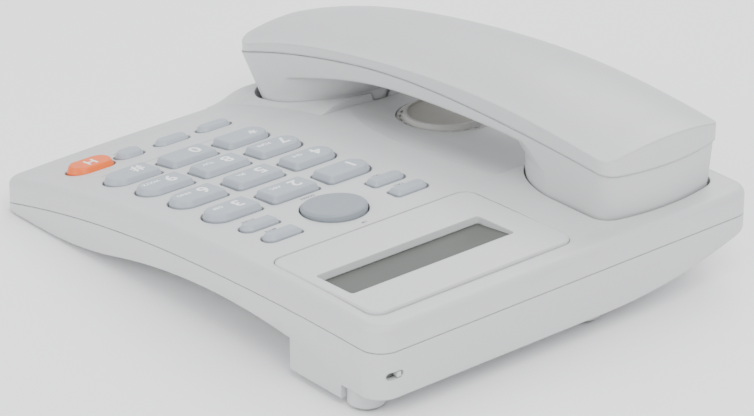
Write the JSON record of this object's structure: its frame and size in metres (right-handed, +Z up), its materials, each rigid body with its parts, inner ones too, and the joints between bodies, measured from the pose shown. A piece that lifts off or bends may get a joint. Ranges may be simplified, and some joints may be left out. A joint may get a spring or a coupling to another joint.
{
  "type": "corded telephone",
  "caption": "Desk telephone: wedge base with a keypad, navigation key, display panel and loudspeaker, and a handset lying in a cradle along the left side.",
  "frame": {"origin": "centre of the whole telephone's plan, at the level of the feet", "axes": "+X to the user's right across the keypad, +Y away from the user towards the display end, +Z up"},
  "size_m": [0.1644, 0.2129, 0.0624],
  "materials": {
    "housing": "fine texture",
    "handset": "fine texture",
    "dial_keys": "satin",
    "function_keys": "satin",
    "speaker_key": "satin",
    "navigation_key": "satin",
    "panel": "satin",
    "lens": "clear",
    "display": "grey-green",
    "silicone": "matt",
    "foot_pads": "matt",
    "circuit_board": "satin",
    "electronic_parts": "matt",
    "ribbon": "matt",
    "speaker_cover": "matt",
    "speaker_cone": "matt",
    "hook_button": "satin",
    "black_plastic": "matt",
    "jack": "satin",
    "steel": "plain",
    "battery": "wrapped"
  },
  "bodies": {
    "base": {"base_microphone": "electronic_parts", "base_screws": "steel", "batteries": "battery", "battery_contacts": "steel", "board_screws": "steel", "capacitors": "electronic_parts", "control_chips": "electronic_parts", "display_bezel": "panel", "display_lens": "lens", "front_feet": "foot_pads", "handset_jack": "jack", "hook_spring": "steel", "hook_switch": "electronic_parts", "keypad_board": "circuit_board", "keypad_mat": "silicone", "lcd_module": "display", "line_jack": "jack", "line_transformer": "electronic_parts", "lower_housing": "housing", "main_board": "circuit_board", "rear_feet": "foot_pads", "ribbon_cables": "ribbon", "ringer_switch": "electronic_parts", "speaker_cover": "speaker_cover", "speaker_driver": "speaker_cone", "upper_housing": "housing"},
    "handset": {"handset_upper_shell": "handset", "handset_lower_shell": "handset", "receiver_capsule": "electronic_parts", "handset_microphone": "electronic_parts", "handset_weight": "steel", "handset_cord_jack": "jack", "handset_screws": "steel"},
    "key_1": {"key_1": "dial_keys"},
    "key_2": {"key_2": "dial_keys"},
    "key_3": {"key_3": "dial_keys"},
    "key_4": {"key_4": "dial_keys"},
    "key_5": {"key_5": "dial_keys"},
    "key_6": {"key_6": "dial_keys"},
    "key_7": {"key_7": "dial_keys"},
    "key_8": {"key_8": "dial_keys"},
    "key_9": {"key_9": "dial_keys"},
    "key_star": {"key_star": "dial_keys"},
    "key_0": {"key_0": "dial_keys"},
    "key_hash": {"key_hash": "dial_keys"},
    "key_speaker": {"key_speaker": "speaker_key"},
    "key_hold": {"key_hold": "function_keys"},
    "key_flash": {"key_flash": "function_keys"},
    "key_redial": {"key_redial": "function_keys"},
    "key_out": {"key_out": "function_keys"},
    "key_callback": {"key_callback": "function_keys"},
    "key_store": {"key_store": "function_keys"},
    "key_mute": {"key_mute": "function_keys"},
    "navigation_key": {"navigation_key": "navigation_key"},
    "hook_button": {"hook_button": "hook_button"},
    "battery_door": {"battery_door": "housing"},
    "ringer_slider": {"ringer_slider": "black_plastic"}
  },
  "joints": [
    {"name": "handset_lift", "type": "slide", "parent": "base", "child": "handset", "axis": [0, 0, 1], "range_m": [0, 0.12]},
    {"name": "hook_button_rise", "type": "slide", "parent": "base", "child": "hook_button", "axis": [0, 0, 1], "range_m": [0, 0.0035], "stiffness_N_per_m": 120, "springref_m": 0.0035, "deforming": ["hook_spring"]},
    {"name": "key_1_press", "type": "slide", "parent": "base", "child": "key_1", "axis": [0, 0.1236, -0.9923], "range_m": [0, 0.0012], "stiffness_N_per_m": 300, "deforming": ["keypad_mat"]},
    {"name": "key_2_press", "type": "slide", "parent": "base", "child": "key_2", "axis": [0, 0.1236, -0.9923], "range_m": [0, 0.0012], "stiffness_N_per_m": 300, "deforming": ["keypad_mat"]},
    {"name": "key_3_press", "type": "slide", "parent": "base", "child": "key_3", "axis": [0, 0.1236, -0.9923], "range_m": [0, 0.0012], "stiffness_N_per_m": 300, "deforming": ["keypad_mat"]},
    {"name": "key_4_press", "type": "slide", "parent": "base", "child": "key_4", "axis": [0, 0.1236, -0.9923], "range_m": [0, 0.0012], "stiffness_N_per_m": 300, "deforming": ["keypad_mat"]},
    {"name": "key_5_press", "type": "slide", "parent": "base", "child": "key_5", "axis": [0, 0.1236, -0.9923], "range_m": [0, 0.0012], "stiffness_N_per_m": 300, "deforming": ["keypad_mat"]},
    {"name": "key_6_press", "type": "slide", "parent": "base", "child": "key_6", "axis": [0, 0.1236, -0.9923], "range_m": [0, 0.0012], "stiffness_N_per_m": 300, "deforming": ["keypad_mat"]},
    {"name": "key_7_press", "type": "slide", "parent": "base", "child": "key_7", "axis": [0, 0.1236, -0.9923], "range_m": [0, 0.0012], "stiffness_N_per_m": 300, "deforming": ["keypad_mat"]},
    {"name": "key_8_press", "type": "slide", "parent": "base", "child": "key_8", "axis": [0, 0.1236, -0.9923], "range_m": [0, 0.0012], "stiffness_N_per_m": 300, "deforming": ["keypad_mat"]},
    {"name": "key_9_press", "type": "slide", "parent": "base", "child": "key_9", "axis": [0, 0.1236, -0.9923], "range_m": [0, 0.0012], "stiffness_N_per_m": 300, "deforming": ["keypad_mat"]},
    {"name": "key_star_press", "type": "slide", "parent": "base", "child": "key_star", "axis": [0, 0.1236, -0.9923], "range_m": [0, 0.0012], "stiffness_N_per_m": 300, "deforming": ["keypad_mat"]},
    {"name": "key_0_press", "type": "slide", "parent": "base", "child": "key_0", "axis": [0, 0.1236, -0.9923], "range_m": [0, 0.0012], "stiffness_N_per_m": 300, "deforming": ["keypad_mat"]},
    {"name": "key_hash_press", "type": "slide", "parent": "base", "child": "key_hash", "axis": [0, 0.1236, -0.9923], "range_m": [0, 0.0012], "stiffness_N_per_m": 300, "deforming": ["keypad_mat"]},
    {"name": "key_speaker_press", "type": "slide", "parent": "base", "child": "key_speaker", "axis": [0, 0.1236, -0.9923], "range_m": [0, 0.0012], "stiffness_N_per_m": 300, "deforming": ["keypad_mat"]},
    {"name": "key_hold_press", "type": "slide", "parent": "base", "child": "key_hold", "axis": [0, 0.1236, -0.9923], "range_m": [0, 0.0012], "stiffness_N_per_m": 300, "deforming": ["keypad_mat"]},
    {"name": "key_flash_press", "type": "slide", "parent": "base", "child": "key_flash", "axis": [0, 0.1236, -0.9923], "range_m": [0, 0.0012], "stiffness_N_per_m": 300, "deforming": ["keypad_mat"]},
    {"name": "key_redial_press", "type": "slide", "parent": "base", "child": "key_redial", "axis": [0, 0.1236, -0.9923], "range_m": [0, 0.0012], "stiffness_N_per_m": 300, "deforming": ["keypad_mat"]},
    {"name": "key_out_press", "type": "slide", "parent": "base", "child": "key_out", "axis": [0, 0.1236, -0.9923], "range_m": [0, 0.0012], "stiffness_N_per_m": 300, "deforming": ["keypad_mat"]},
    {"name": "key_callback_press", "type": "slide", "parent": "base", "child": "key_callback", "axis": [0, 0.1236, -0.9923], "range_m": [0, 0.0012], "stiffness_N_per_m": 300, "deforming": ["keypad_mat"]},
    {"name": "key_store_press", "type": "slide", "parent": "base", "child": "key_store", "axis": [0, 0.1236, -0.9923], "range_m": [0, 0.0012], "stiffness_N_per_m": 300, "deforming": ["keypad_mat"]},
    {"name": "key_mute_press", "type": "slide", "parent": "base", "child": "key_mute", "axis": [0, 0.1236, -0.9923], "range_m": [0, 0.0012], "stiffness_N_per_m": 300, "deforming": ["keypad_mat"]},
    {"name": "navigation_rock", "type": "hinge", "parent": "base", "child": "navigation_key", "pos_m": [0.0342, 0.02762, 0.02688], "axis": [1, 0, 0], "range_deg": [-3.5, 3.5], "stiffness_Nm_per_rad": 0.02, "deforming": ["keypad_mat"]},
    {"name": "battery_door_slide", "type": "slide", "parent": "base", "child": "battery_door", "axis": [0, -1, 0], "range_m": [0, 0.04]},
    {"name": "ringer_slide", "type": "slide", "parent": "base", "child": "ringer_slider", "axis": [1, 0, 0], "range_m": [0, 0.0032]}
  ],
  "couplings": [
    {"joint": "hook_button_rise", "follows": "handset_lift", "ratio": 0.029167}
  ]
}
